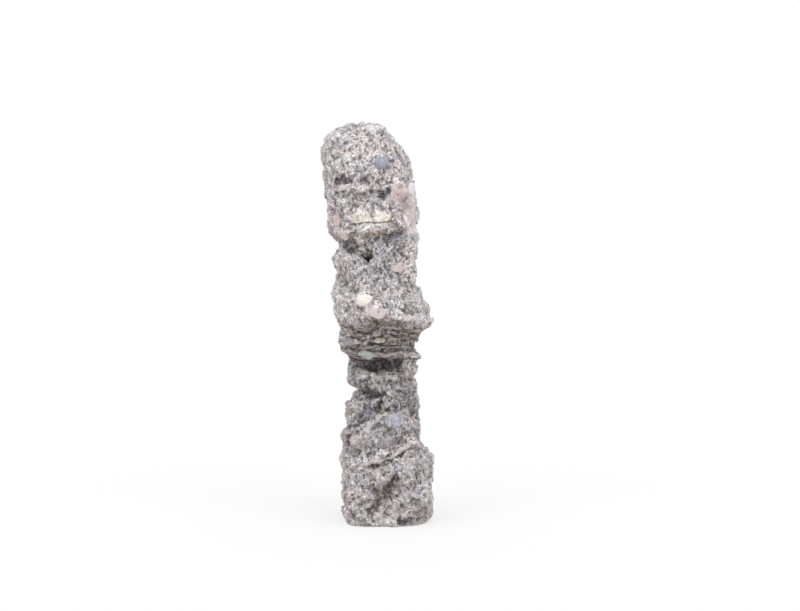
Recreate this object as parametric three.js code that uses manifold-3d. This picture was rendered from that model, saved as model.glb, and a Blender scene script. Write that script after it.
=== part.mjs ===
// A free-standing column of breccia: angular fragments and pebbles set in grey-lavender matrix.
// Millimetres, +Z up. The face that is seen first looks along -Y, and the base is flat.
import * as THREE from 'three';
import { ImprovedNoise } from 'three/addons/math/ImprovedNoise.js';
import { mergeVertices } from 'three/addons/utils/BufferGeometryUtils.js';
import Module from 'manifold-3d';

const wasm = await Module();
wasm.setup();

// The outline of the column at each height: how far it reaches to each side of the upright axis.
// left and right are X, front and back are Y, and corner is how square the section is (2 is an ellipse).
const OUTLINE = [
  // foot block
  { z: 0, left: -32, right: 28, front: -33, back: 30, corner: 4 },
  { z: 4, left: -33, right: 33, front: -33, back: 32, corner: 4 },
  { z: 15, left: -33, right: 34, front: -34, back: 33, corner: 4 },
  { z: 25, left: -34, right: 32, front: -34, back: 34, corner: 4 },
  { z: 36, left: -34, right: 31, front: -34, back: 32, corner: 4 },
  { z: 46, left: -35, right: 33, front: -34, back: 33, corner: 3.6 },
  { z: 52, left: -34, right: 30, front: -32, back: 31, corner: 3.2 },
  { z: 57, left: -32, right: 27, front: -30, back: 28, corner: 3 },
  // shaft above the foot
  { z: 63, left: -31, right: 25, front: -30, back: 26, corner: 3.2 },
  { z: 73, left: -31, right: 26, front: -30, back: 28, corner: 3.2 },
  { z: 81, left: -32, right: 23, front: -28, back: 31, corner: 3 },
  { z: 90, left: -30, right: 23, front: -26, back: 32, corner: 2.8 },
  // notch on the left, then the lump that hangs over it
  { z: 94, left: -25, right: 21, front: -24, back: 30, corner: 2.6 },
  { z: 97.5, left: -21, right: 22, front: -22, back: 28, corner: 2.6 },
  { z: 100.5, left: -22, right: 22, front: -22, back: 27, corner: 2.6 },
  { z: 104, left: -31, right: 22, front: -22, back: 26, corner: 2.6 },
  { z: 112, left: -32, right: 22, front: -20, back: 24, corner: 2.6 },
  // waist, the deepest part of the front
  { z: 118, left: -32, right: 21, front: -14, back: 24, corner: 2.8 },
  { z: 123, left: -31, right: 23, front: -17, back: 26, corner: 2.8 },
  // underside of the belly, in thin layers
  { z: 127, left: -32, right: 23, front: -27, back: 28, corner: 2.8 },
  { z: 132, left: -36, right: 21, front: -30, back: 31, corner: 2.8 },
  { z: 137, left: -38, right: 25, front: -36, back: 33, corner: 2.8 },
  { z: 143, left: -37, right: 26, front: -38, back: 34, corner: 2.6 },
  { z: 149, left: -38, right: 31, front: -43, back: 35, corner: 2.6 },
  // rim and nose of the belly
  { z: 153, left: -39, right: 32, front: -50, back: 35, corner: 2.6 },
  { z: 160, left: -41, right: 31, front: -51, back: 34, corner: 2.6 },
  { z: 166, left: -40, right: 28, front: -49, back: 32, corner: 2.6 },
  { z: 173, left: -41, right: 26, front: -45, back: 30, corner: 2.6 },
  // sloping top of the belly
  { z: 179, left: -37, right: 21, front: -41, back: 27, corner: 2.6 },
  { z: 185, left: -39, right: 23, front: -36, back: 26, corner: 2.6 },
  { z: 188.5, left: -35, right: 23, front: -33, back: 27, corner: 2.6 },
  // neck
  { z: 193, left: -38, right: 23, front: -30, back: 28, corner: 2.8 },
  { z: 200, left: -40, right: 23, front: -29, back: 32, corner: 2.8 },
  { z: 206, left: -39, right: 23, front: -29, back: 36, corner: 2.8 },
  { z: 210, left: -36, right: 23, front: -30, back: 37, corner: 3 },
  // head block
  { z: 215, left: -41, right: 23, front: -34, back: 37, corner: 3 },
  { z: 219, left: -44, right: 22, front: -36, back: 36, corner: 3 },
  { z: 231, left: -44, right: 22, front: -37, back: 34, corner: 3.2 },
  { z: 240, left: -44, right: 21, front: -37, back: 30, corner: 3.2 },
  { z: 246, left: -46, right: 20, front: -36, back: 30, corner: 3 },
  { z: 255, left: -46, right: 19, front: -37, back: 32, corner: 3 },
  { z: 260, left: -45, right: 18, front: -37, back: 34, corner: 3 },
  { z: 267, left: -47, right: 18, front: -36, back: 34, corner: 3 },
  { z: 274, left: -48, right: 15, front: -35, back: 31, corner: 2.8 },
  { z: 282, left: -48, right: 11, front: -32, back: 27, corner: 2.6 },
  // crown
  { z: 288, left: -48, right: 7, front: -29, back: 22, corner: 2.4 },
  { z: 293, left: -45, right: 2, front: -24, back: 16, corner: 2.4 },
  { z: 297, left: -41, right: -1, front: -19, back: 10, corner: 2.2 },
  { z: 300, left: -35, right: -5, front: -13, back: 4, corner: 2.2 },
  { z: 301.5, left: -26, right: -10, front: -8, back: -1, corner: 2 },
];

const SIDES = 25; // faces around the column
const RING_GAP = 10; // the most height between two rings of the column
const LUMP_SIZE = 26; // size of the lumps that the whole surface has
const LUMP_HEIGHT = 3.4; // how far they stand out
const KNOB_SIZE = 11; // size of the small knobs between them
const KNOB_HEIGHT = 2.4;
const FRONT_SWAY = 5; // how far the outline's levels rise and fall across the front, and across the back
const BACK_SWAY = 26;
const SWAY_SIZE = 55; // height between one rise and the next
const BLOCKINESS = 4; // 2 makes round boulders, more makes them box-like
const BOULDER_RUMPLE = 0.3; // how uneven a boulder is
const RAY_START = 200; // rays that find the surface start this far from the axis
const WELD = 0.6; // corners closer than this are one corner, so that no facet is a sliver

// Large bodies of rock that stand out of the column. x and z say where on the front, or turn (degrees
// round from the front, seen from above) and z elsewhere. half is half the width, height and depth;
// tilt turns the body in the plane of the surface, and proud is how far its middle is outside it.
const BLOCKS = [
  // the layer that steps out below a rising edge on the shaft, and the shaft's right side
  { x: -15, z: 66, half: [14, 8, 6], tilt: 17, proud: -3.6 },
  { x: 10, z: 76, half: [10, 11, 6], tilt: 6, proud: -4.2 },
  // the foot block's upper edge, which rises to the right, and its lower corners
  { x: 10, z: 58, half: [16, 6.5, 7], tilt: 22, proud: -5 },
  { x: 21, z: 22, half: [11, 15, 7], tilt: 0, proud: -5 },
  { x: -21, z: 20, half: [12, 14, 7], tilt: 6, proud: -6 },
  // the lump over the notch, and the upright lump that closes the waist on the right
  { x: -21, z: 110, half: [9, 9, 8], tilt: -24, proud: -3.6 },
  { x: 16, z: 112, half: [6, 17, 8], tilt: 3, proud: -4.6 },
  // the belly's rim, and the plate under it
  { x: -19, z: 157, half: [15, 5.5, 9], tilt: -4, proud: -7.6 },
  { x: 13, z: 157, half: [14, 5, 9], tilt: 4, proud: -6.6 },
  { x: -11, z: 126, half: [12, 4, 7], tilt: -17, proud: -4 },
  // head: the lip over the dark cleft, the smooth right flank and the crown
  { x: -25, z: 221, half: [12, 8, 7], tilt: -30, proud: -5.2 },
  { x: 16, z: 240, half: [5.5, 19, 7], tilt: -3, proud: -5 },
  { x: 17, z: 207, half: [5, 15, 6], tilt: 4, proud: -4.4 },
  { x: -10, z: 226, half: [17, 7, 6], tilt: 2, proud: -4.6 },
  { x: -12, z: 296.5, half: [10, 4.6, 9], tilt: 4, proud: -7 },
  { x: -34, z: 291, half: [8, 6, 8], tilt: -10, proud: -6 },
  // sides and back, which carry the same layers on
  { turn: 78, z: 152, half: [18, 6, 8], tilt: -9, proud: -5 },
  { turn: 104, z: 236, half: [19, 10, 7], tilt: 14, proud: -4.5 },
  { turn: 92, z: 44, half: [20, 10, 7], tilt: -8, proud: -5 },
  { turn: 168, z: 214, half: [20, 10, 9], tilt: 12, proud: -6 },
  { turn: 190, z: 146, half: [20, 11, 8], tilt: -12, proud: -5 },
  { turn: 200, z: 88, half: [17, 12, 7], tilt: 14, proud: -4.5 },
  { turn: 176, z: 34, half: [22, 12, 7], tilt: 7, proud: -5 },
  { turn: 236, z: 254, half: [14, 15, 7], tilt: -14, proud: -4.5 },
  { turn: 264, z: 62, half: [18, 8, 7], tilt: 9, proud: -4.5 },
];

// Cuts into the surface, placed as the blocks are: grooves, clefts, notches and the joints of the
// beds. half is half the width and height at the surface, depth is how deep they go, tilt is as for
// a block, and lean turns the floor of the cut up or down.
const CUTS = [
  // joints between the thin beds under the belly
  { x: -4, z: 149.5, half: [30, 1.5], depth: 6, tilt: 2 },
  { x: 2, z: 143.5, half: [28, 1.4], depth: 5, tilt: -4 },
  { x: -4, z: 137, half: [30, 1.5], depth: 6, tilt: 4 },
  { x: 6, z: 131.5, half: [22, 1.4], depth: 5, tilt: -2 },
  // the waist, and the notch on the left with its overhang
  { x: -7, z: 119.5, half: [21, 4.4], depth: 8, tilt: 1 },
  { x: -10, z: 98.5, half: [10, 3], depth: 7, tilt: -8 },
  { turn: 270, z: 98, half: [40, 3.2], depth: 0.5, tilt: 4 },
  // above the shaft's rising edge, and below the foot's
  { x: -17, z: 85, half: [15, 5], depth: 3.4, tilt: 20, lean: -8 },
  { x: 2, z: 52.5, half: [18, 2.6], depth: 4.4, tilt: 25 },
  // the foot's diagonal groove and its undercut corner
  { x: -4, z: 24, half: [16, 4.5], depth: 4, tilt: 54, lean: 10 },
  { x: 19, z: 3, half: [11, 2.2], depth: 4, tilt: 3 },
  // the head: the dark cleft and the hollow on the left
  { x: 0, z: 252, half: [8, 5], depth: 6, tilt: 36, lean: -22 },
  { x: -35, z: 263, half: [6, 3.4], depth: 5, tilt: 12 },
  // the neck: the cleft under the lip, and the undercuts beside it
  { x: -21, z: 205.5, half: [12, 4], depth: 9, tilt: -32 },
  { turn: 270, z: 206, half: [18, 4.4], depth: 3, tilt: 8 },
  { turn: 262, z: 189, half: [34, 2.6], depth: 3, tilt: -6 },
  { turn: 92, z: 182, half: [18, 4], depth: 4, tilt: -6 },
  // sides and back
  { turn: 84, z: 112, half: [18, 4], depth: 6, tilt: 8 },
  { turn: 84, z: 139, half: [18, 1.6], depth: 5, tilt: -5 },
  { turn: 120, z: 192, half: [20, 3.4], depth: 6, tilt: -12 },
  { turn: 128, z: 64, half: [18, 2.6], depth: 4, tilt: 14 },
  { turn: 172, z: 124, half: [22, 4.4], depth: 7, tilt: 6 },
  { turn: 180, z: 62, half: [20, 3], depth: 5, tilt: -8 },
  { turn: 176, z: 250, half: [18, 3], depth: 5, tilt: 16 },
  { turn: 214, z: 188, half: [20, 4], depth: 6, tilt: 14 },
  { turn: 226, z: 40, half: [3, 18], depth: 4, tilt: 12 },
  { turn: 272, z: 140, half: [18, 1.6], depth: 5, tilt: 6 },
  { turn: 246, z: 226, half: [16, 2.4], depth: 5, tilt: -18 },
];
const CUT_REACH = 14; // how far a cut's shape reaches outward, past what stands out there
const CUT_TAPER = 0.5; // height of a cut's floor, as a share of its height at the surface
const CUT_MOUTH = 1.3; // its height where it reaches farthest out
const CUT_STEP = 7; // length between the bends of a cut
const CUT_BEND = 1.6; // how far it bends to a side, as a share of its half height
const CUT_BEND_MOST = 3; // the most half height that this share is taken of
const CUT_UNEVEN = 0.5; // how much its depth varies, as a share of it

// Flat faces where the rock broke, all round the column.
const BREAKS = 28;
const BREAK_SEED = 5;
const BREAK_HALF = [10, 19]; // least and most half size of a break
const BREAK_DEPTH = [1.4, 3.2];
const BREAK_TURN = 13; // degrees that a break leans away from the surface
const BREAK_REACH = 20; // how far a break's box reaches outward

// Pebbles that the eye finds first, on the front: place, half width and half height, and tilt.
const PEBBLES = [
  { name: 'round blue', x: -4.5, z: 277, half: [5.6, 5.2], tilt: 0 },
  { name: 'crown', x: -9, z: 293, half: [6, 3.8], tilt: -8 },
  { name: 'cream sliver', x: -32, z: 255, half: [8.4, 2.8], tilt: 25 },
  { name: 'blue left', x: -27, z: 277, half: [3.6, 2.8], tilt: 0 },
  { name: 'purple', x: -26, z: 264, half: [3.8, 2.6], tilt: 0 },
  { name: 'pink cheek', x: 9.5, z: 251, half: [5, 8], tilt: -12 },
  { name: 'pink strip', x: -35, z: 227, half: [3.2, 10], tilt: 22 },
  { name: 'neck cream', x: -18, z: 211.5, half: [4.6, 3.8], tilt: -20 },
  { name: 'neck beige', x: 7, z: 197, half: [4.8, 4.2], tilt: 0 },
  { name: 'belly white', x: -17, z: 172, half: [6.4, 3.8], tilt: 14 },
  { name: 'belly pink', x: -8, z: 165, half: [8, 7.4], tilt: 30 },
  { name: 'rim pink', x: 24, z: 157, half: [5, 2.8], tilt: 8 },
  { name: 'under cream', x: -6.5, z: 143.5, half: [4.6, 4.2], tilt: 0 },
  { name: 'under grey', x: -29, z: 141, half: [5.4, 4], tilt: -12 },
  { name: 'shaft beige', x: -3, z: 91, half: [3.8, 3.6], tilt: 0 },
  { name: 'shaft red', x: -27, z: 87, half: [3.6, 3.2], tilt: 0 },
  { name: 'shaft lavender', x: 5, z: 80, half: [6, 6.5], tilt: 20 },
  { name: 'foot blue', x: 11, z: 43, half: [6.5, 4.4], tilt: 10 },
  { name: 'foot pink', x: 6, z: 34.5, half: [3, 2.6], tilt: 0 },
];
const FINE_PEBBLE = 5; // a pebble with a larger half size than this has more faces
const PEBBLE_PROUD = 0.35; // share of a pebble's half depth that its middle lies under the surface

const SCATTERED_PEBBLES = 12; // more pebbles, all round the column
const SCATTER_SEED = 28;
const SCATTER_HALF = [2.6, 6]; // least and most half size of a scattered pebble

const noise = new ImprovedNoise();

/** Rough noise about zero at a point, with bumps of the given size in millimetres. */
function rumple(point, size, octaves = 3) {
  let sum = 0;
  for (let octave = 0; octave < octaves; octave += 1) {
    const scale = 2 ** octave / size;
    sum += noise.noise(point.x * scale, point.y * scale, point.z * scale) / 2 ** octave;
  }
  return sum;
}

/** Turns a geometry into a solid that can be joined and cut. Corners closer than weld become one. */
function solid(geometry, weld = 1e-4) {
  geometry.deleteAttribute('normal');
  geometry.deleteAttribute('uv');
  const merged = mergeVertices(geometry, weld);
  const corners = merged.index.array;
  const triVerts = [];
  for (let first = 0; first < corners.length; first += 3) {
    const triangle = corners.slice(first, first + 3);
    if (new Set(triangle).size === 3) triVerts.push(...triangle);
  }
  const vertProperties = merged.attributes.position.array;
  const mesh = new wasm.Mesh({ numProp: 3, vertProperties, triVerts: new Uint32Array(triVerts) });
  return new wasm.Manifold(mesh);
}

/** Turns a solid back into a geometry. */
function geometryOf(made) {
  const mesh = made.getMesh();
  const geometry = new THREE.BufferGeometry();
  geometry.setAttribute('position', new THREE.BufferAttribute(mesh.vertProperties, 3));
  geometry.setIndex(new THREE.BufferAttribute(mesh.triVerts, 1));
  return geometry;
}

/** The heights of the column's rings: every row of the outline, and more between rows far apart. */
function ringHeights() {
  const heights = [OUTLINE[0].z];
  for (let row = 1; row < OUTLINE.length; row += 1) {
    const low = OUTLINE[row - 1].z;
    const steps = Math.ceil((OUTLINE[row].z - low) / RING_GAP);
    for (let step = 1; step <= steps; step += 1) {
      heights.push(low + ((OUTLINE[row].z - low) * step) / steps);
    }
  }
  return heights;
}

/** The outline at any height, between the two rows that it lies between. */
function outlineAt(z) {
  const above = Math.max(1, OUTLINE.findIndex((row) => row.z >= z));
  const [low, high] = [OUTLINE[above - 1], OUTLINE[above]];
  const share = (z - low.z) / (high.z - low.z);
  const between = {};
  for (const key of Object.keys(low)) between[key] = THREE.MathUtils.lerp(low[key], high[key], share);
  return between;
}

/** 1 along the column and 0 at its base and its top, where the levels stay level. */
function levelFade(z) {
  const top = OUTLINE.at(-1).z;
  return THREE.MathUtils.smoothstep(z, 0, 30) * (1 - THREE.MathUtils.smoothstep(z, top - 30, top));
}

/** The column: a cylinder whose rings are moved onto the outline and roughened. */
function columnGeometry() {
  const heights = ringHeights();
  const rings = heights.length - 1;
  const geometry = new THREE.CylinderGeometry(1, 1, rings, SIDES, rings);
  geometry.rotateX(Math.PI / 2);
  const positions = geometry.attributes.position;
  const point = new THREE.Vector3();
  for (let index = 0; index < positions.count; index += 1) {
    point.fromBufferAttribute(positions, index);
    const z = heights[Math.round(point.z + rings / 2)];
    const rim = Math.hypot(point.x, point.y) > 0.5;
    const [c, s] = rim ? [point.x, point.y] : [0, 0];
    const sway = (s < 0 ? FRONT_SWAY : BACK_SWAY) * noise.noise(c, s, z / SWAY_SIZE) * levelFade(z);
    const { left, right, corner } = outlineAt(z + sway * s * s);
    const { front, back } = outlineAt(z + sway);
    const halfWide = (right - left) / 2;
    const halfDeep = s < 0 ? -front : Math.max(back, 1);
    const across = (Math.abs(c) / halfWide) ** corner + (Math.abs(s) / halfDeep) ** corner;
    const reach = rim ? across ** (-1 / corner) : 0;
    point.set((left + right) / 2 + c * reach, s * reach, z);
    const bump = LUMP_HEIGHT * rumple(point, LUMP_SIZE) + KNOB_HEIGHT * rumple(point, KNOB_SIZE, 2);
    point.x += c * bump;
    point.y += s * bump;
    positions.setXYZ(index, point.x, point.y, point.z);
  }
  return geometry;
}

const column = new THREE.Mesh(columnGeometry(), new THREE.MeshBasicMaterial({ side: THREE.DoubleSide }));

/** The place on the column's surface, and the direction straight out of it, for an item of a list. */
function surfacePlace({ x, turn, z }) {
  const angle = THREE.MathUtils.degToRad(turn ?? 0);
  const outward = new THREE.Vector3(Math.sin(angle), -Math.cos(angle), 0);
  const { left, right } = outlineAt(z);
  const start = new THREE.Vector3(x ?? (left + right) / 2, 0, z).addScaledVector(outward, RAY_START);
  const [hit] = new THREE.Raycaster(start, outward.clone().negate()).intersectObject(column);
  return { point: hit.point, outward };
}

/** An angular body of rock, with its half sizes along the surface, up it and out of it. */
function boulder({ half, detail, seed }) {
  const geometry = new THREE.IcosahedronGeometry(1, detail);
  const positions = geometry.attributes.position;
  const point = new THREE.Vector3();
  for (let index = 0; index < positions.count; index += 1) {
    point.fromBufferAttribute(positions, index);
    const shifted = point.clone().addScalar(seed * 7.3);
    const spread = point.toArray().reduce((sum, part) => sum + Math.abs(part) ** BLOCKINESS, 0);
    point.multiplyScalar(spread ** (-1 / BLOCKINESS) + BOULDER_RUMPLE * rumple(shifted, 1.1, 2));
    positions.setXYZ(index, point.x * half[0], point.y * half[1], point.z * half[2]);
  }
  return geometry;
}

/** Puts a geometry on the column's surface: X along it, Y up it and Z out of it. */
function setInSurface(geometry, item, proud) {
  const { point, outward } = surfacePlace(item);
  const up = new THREE.Vector3(0, 0, 1);
  const place = new THREE.Matrix4().makeBasis(up.clone().cross(outward), up, outward);
  place.setPosition(point.addScaledVector(outward, proud));
  geometry.rotateZ(THREE.MathUtils.degToRad(item.tilt));
  return solid(geometry.applyMatrix4(place));
}

/** A boulder set in the surface, as a solid. */
function bodyOf(item, seed, detail = 1) {
  return setInSurface(boulder({ half: item.half, detail, seed }), item, item.proud);
}

/** What a cut takes away: a long box that narrows to its floor, and bends and deepens on its way. */
function cutOf(item, seed) {
  const [width, height] = item.half;
  const steps = Math.ceil(Math.max(width, height) / CUT_STEP);
  const along = width > height ? [steps, 1] : [1, steps];
  const geometry = new THREE.BoxGeometry(2 * width, 2 * height, CUT_REACH + item.depth, ...along);
  geometry.translate(0, 0, (CUT_REACH - item.depth) / 2);
  const positions = geometry.attributes.position;
  const sideways = CUT_BEND * Math.min(width, height, CUT_BEND_MOST);
  const point = new THREE.Vector3();
  for (let index = 0; index < positions.count; index += 1) {
    point.fromBufferAttribute(positions, index);
    const grown = point.z < 0 ? CUT_TAPER : CUT_MOUTH;
    const bend = sideways * noise.noise(point.x / CUT_STEP, point.y / CUT_STEP, seed * 3.7);
    if (width > height) point.y = point.y * grown + bend;
    else point.x = point.x * grown + bend;
    const uneven = CUT_UNEVEN * noise.noise(point.x / CUT_STEP, point.y / CUT_STEP, seed * 5.1);
    if (point.z < 0) point.z *= 1 + uneven;
    positions.setXYZ(index, point.x, point.y, point.z);
  }
  geometry.rotateX(THREE.MathUtils.degToRad(item.lean ?? 0));
  return setInSurface(geometry, item, 0);
}

/** What the breaks take away: large flat boxes, whose undersides are the broken faces. */
function breakSolids() {
  const random = (low, high) => low + (high - low) * THREE.MathUtils.seededRandom();
  const lean = () => THREE.MathUtils.degToRad(random(-BREAK_TURN, BREAK_TURN));
  THREE.MathUtils.seededRandom(BREAK_SEED);
  const top = OUTLINE.at(-1).z;
  return Array.from({ length: BREAKS }, (_, index) => {
    const z = 14 + ((top - 40) * (index + 0.5)) / BREAKS;
    const item = { turn: (index * 137.5) % 360, z, tilt: random(-30, 30) };
    const [width, height] = [random(...BREAK_HALF), random(...BREAK_HALF) * 0.7];
    const geometry = new THREE.BoxGeometry(2 * width, 2 * height, BREAK_REACH);
    geometry.translate(0, 0, BREAK_REACH / 2);
    geometry.rotateX(lean());
    geometry.rotateY(lean());
    return setInSurface(geometry, item, -random(...BREAK_DEPTH));
  });
}

/** The named pebbles, then the scattered ones, all as items like the blocks. */
function pebbleItems() {
  const named = PEBBLES.map(({ x, z, half, tilt }) => {
    const depth = Math.min(...half) * 0.9;
    const detail = Math.max(...half) > FINE_PEBBLE ? 1 : 0;
    return { x, z, tilt, half: [...half, depth], proud: -depth * PEBBLE_PROUD, detail };
  });
  const random = (low, high) => low + (high - low) * THREE.MathUtils.seededRandom();
  THREE.MathUtils.seededRandom(SCATTER_SEED);
  const top = OUTLINE.at(-1).z;
  const scattered = Array.from({ length: SCATTERED_PEBBLES }, (_, index) => {
    const width = random(...SCATTER_HALF);
    const height = width * random(0.55, 1);
    const turn = (index * 137.5) % 360;
    const z = random(8, top - 22);
    const proud = -height * PEBBLE_PROUD;
    return { turn, z, tilt: random(-40, 40), half: [width, height, height], proud, detail: 0 };
  });
  return [...named, ...scattered];
}

/** The whole stone: the column with its breaks, blocks and pebbles, its cuts, and a flat base. */
function stoneGeometry() {
  let stone = solid(column.geometry.clone());
  for (const taken of breakSolids()) {
    stone = stone.subtract(taken);
  }
  for (const [index, block] of BLOCKS.entries()) {
    stone = stone.add(bodyOf(block, index));
  }
  for (const [index, pebble] of pebbleItems().entries()) {
    stone = stone.add(bodyOf(pebble, BLOCKS.length + index, pebble.detail));
  }
  for (const [index, cut] of CUTS.entries()) {
    stone = stone.subtract(cutOf(cut, index));
  }
  const below = new THREE.BoxGeometry(RAY_START, RAY_START, RAY_START);
  below.translate(0, 0, -RAY_START / 2);
  const welded = solid(geometryOf(stone.subtract(solid(below))), WELD);
  const bySize = welded.decompose().sort((a, b) => b.volume() - a.volume());
  return geometryOf(bySize[0]);
}

/** Moves a geometry so that the middle of the underside of its box is the origin. */
function centreOnBase(geometry) {
  geometry.computeBoundingBox();
  const { min, max } = geometry.boundingBox;
  return geometry.translate(-(min.x + max.x) / 2, -(min.y + max.y) / 2, -min.z);
}

const breccia = new THREE.MeshStandardMaterial({ color: 0xa39a9b, roughness: 0.88, metalness: 0 });
const stone = new THREE.Mesh(centreOnBase(stoneGeometry()), breccia);
stone.name = 'stone';

const part = new THREE.Group();
part.add(stone);

export default part;
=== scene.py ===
"""Dresses a free-standing column of breccia: fine relief, fragments, grit, a plain stage and a camera."""

import math

import bmesh
import bpy
import numpy as np
from mathutils import Euler, Matrix, Vector
from mathutils.bvhtree import BVHTree


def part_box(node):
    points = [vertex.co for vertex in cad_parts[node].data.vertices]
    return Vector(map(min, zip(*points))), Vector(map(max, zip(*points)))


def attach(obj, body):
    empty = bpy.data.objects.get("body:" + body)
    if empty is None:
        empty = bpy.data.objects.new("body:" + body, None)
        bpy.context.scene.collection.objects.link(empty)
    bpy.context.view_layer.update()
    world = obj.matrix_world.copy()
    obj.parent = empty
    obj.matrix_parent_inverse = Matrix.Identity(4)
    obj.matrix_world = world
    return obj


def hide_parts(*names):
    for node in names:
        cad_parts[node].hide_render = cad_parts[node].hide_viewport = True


bl_info = {
    "name": "Breccia Column",
    "version": (1, 0, 0),
    "blender": (4, 5, 0),
    "location": "View3D > Sidebar > Breccia",
    "description": "Builds the fine surface of a breccia column, its stage and its camera",
    "category": "Object",
}

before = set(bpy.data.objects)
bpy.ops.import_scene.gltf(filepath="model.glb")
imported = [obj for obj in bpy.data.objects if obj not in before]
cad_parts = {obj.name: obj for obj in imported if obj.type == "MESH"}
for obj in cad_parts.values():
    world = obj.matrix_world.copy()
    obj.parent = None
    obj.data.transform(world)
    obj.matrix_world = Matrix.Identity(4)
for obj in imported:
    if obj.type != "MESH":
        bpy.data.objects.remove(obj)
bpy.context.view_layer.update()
STONE_LOW, STONE_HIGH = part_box("stone")

MM = 0.001
LAYOUT = "OFBake"  # name of the layout that a piece's faces are laid out in

# The photograph's view plane goes through the column's axis and is square to the view. A place in it is given
# in millimetres, across and up, as are the other sizes in the tables below.
VIEW_ELEVATION = math.radians(7)
VIEW_CENTRE = (16.8, 162.75)  # middle of the picture
VIEW_WIDTH = 600  # what the picture spans
VIEW_DISTANCE = 2200
SENSOR_WIDTH = 36
VIEW_FAR_END = 300  # metres

# How the stone is turned while it is meshed and patterned, so that no row follows a face of it.
SKEW = Euler((0.52, 0.41, 0.33)).to_matrix()
# How each kind of cell is bent: the size of the noise that does it, and how far it moves a point.
BENDS = {
    "coarse": (14 * MM, 2.4 * MM),
    "medium": (7 * MM, 1.6 * MM),
    "small": (3 * MM, 0.8 * MM),
    "speck": (1.5 * MM, 0.3 * MM),
}
FOOT_FADE = (0.2 * MM, 5 * MM)  # heights between which the relief grows, so that the underside stays flat
COARSE_SHIFT = -0.4 * MM  # how far the large relief moves the whole surface out
FINE_SHIFT = 0.1 * MM
WIDE_GROOVE = 2 * MM  # grooves with at least this half width belong to the large relief
DEPTH_SHARE = 0.75  # share of the distance in front of or behind a groove that isn't counted
BEDS_LOW = (116 * MM, 128 * MM)  # heights between which the beds under the belly set in
BEDS_HIGH = (158 * MM, 150 * MM)  # and between which they end
BED_SLOPE = 0.08
CREASE_WIDTH = 0.12  # how far the noise is from its middle at the side of a crease

# Rounds of smoothing that give the near and wide surroundings of a point, and the way they face.
NEAR_ROUNDS = 4
WIDE_ROUNDS = 60
FACING_ROUNDS = 12

ROUND_CORNERS = 70  # points that the hull of a fragment is made from if it is worn round
ANGULAR_CORNERS = 14  # and if it is broken
THICKNESS = 0.9  # a fragment's depth as a share of its smaller width
DEEPEST = 2.4 * MM  # half the depth of the thickest broken fragment
EDGE_WIDTH = 0.14  # how much of a fragment's edges is worn off, as a share of its smaller half width
LEAN = 0.7  # how far the fragments of the front are turned to the view
GRAIN_SUNK = 0.3  # how deep a grain's middle lies, as a share of its half width

FLOOR_RADIUS = 100  # metres
FLOOR_SIDES = 96
HORIZON_BAND = (0.02, 0.4)  # how far up the surroundings change from the horizon's brightness to the sky's
FRONT_TURN, FRONT_ELEVATION, FRONT_SOFTNESS = 42, 42, 40  # degrees
TOP_ELEVATION, TOP_SOFTNESS = 74, 50

# Finishes of the fragments, as linear colours.
CREAM = (0.68, 0.61, 0.53)
WHITE = (0.74, 0.72, 0.70)
PINK = (0.56, 0.43, 0.41)
PALE_PINK = (0.62, 0.53, 0.50)
RED_PINK = (0.40, 0.27, 0.26)
LAVENDER = (0.40, 0.37, 0.43)
PURPLE = (0.27, 0.22, 0.29)
BLUE_GREY = (0.28, 0.31, 0.37)
GREEN_GREY = (0.31, 0.35, 0.31)
BEIGE = (0.43, 0.37, 0.32)
MID_GREY = (0.36, 0.34, 0.35)
DARK = (0.11, 0.10, 0.105)
BRIGHTEST = (0.95, 0.94, 0.93)  # no part of the stone's own surface is lighter

# How often each finish turns up: the share of the pieces that those before it take.
FRAGMENT_STOPS = [
    (0.0, MID_GREY),
    (0.28, LAVENDER),
    (0.44, CREAM),
    (0.56, PALE_PINK),
    (0.64, WHITE),
    (0.74, BLUE_GREY),
    (0.82, BEIGE),
    (0.88, GREEN_GREY),
    (0.93, PINK),
    (0.97, PURPLE),
]
GRIT_STOPS = [
    (0.0, MID_GREY),
    (0.28, WHITE),
    (0.42, DARK),
    (0.58, LAVENDER),
    (0.72, CREAM),
    (0.84, BLUE_GREY),
    (0.92, BEIGE),
]

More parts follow.
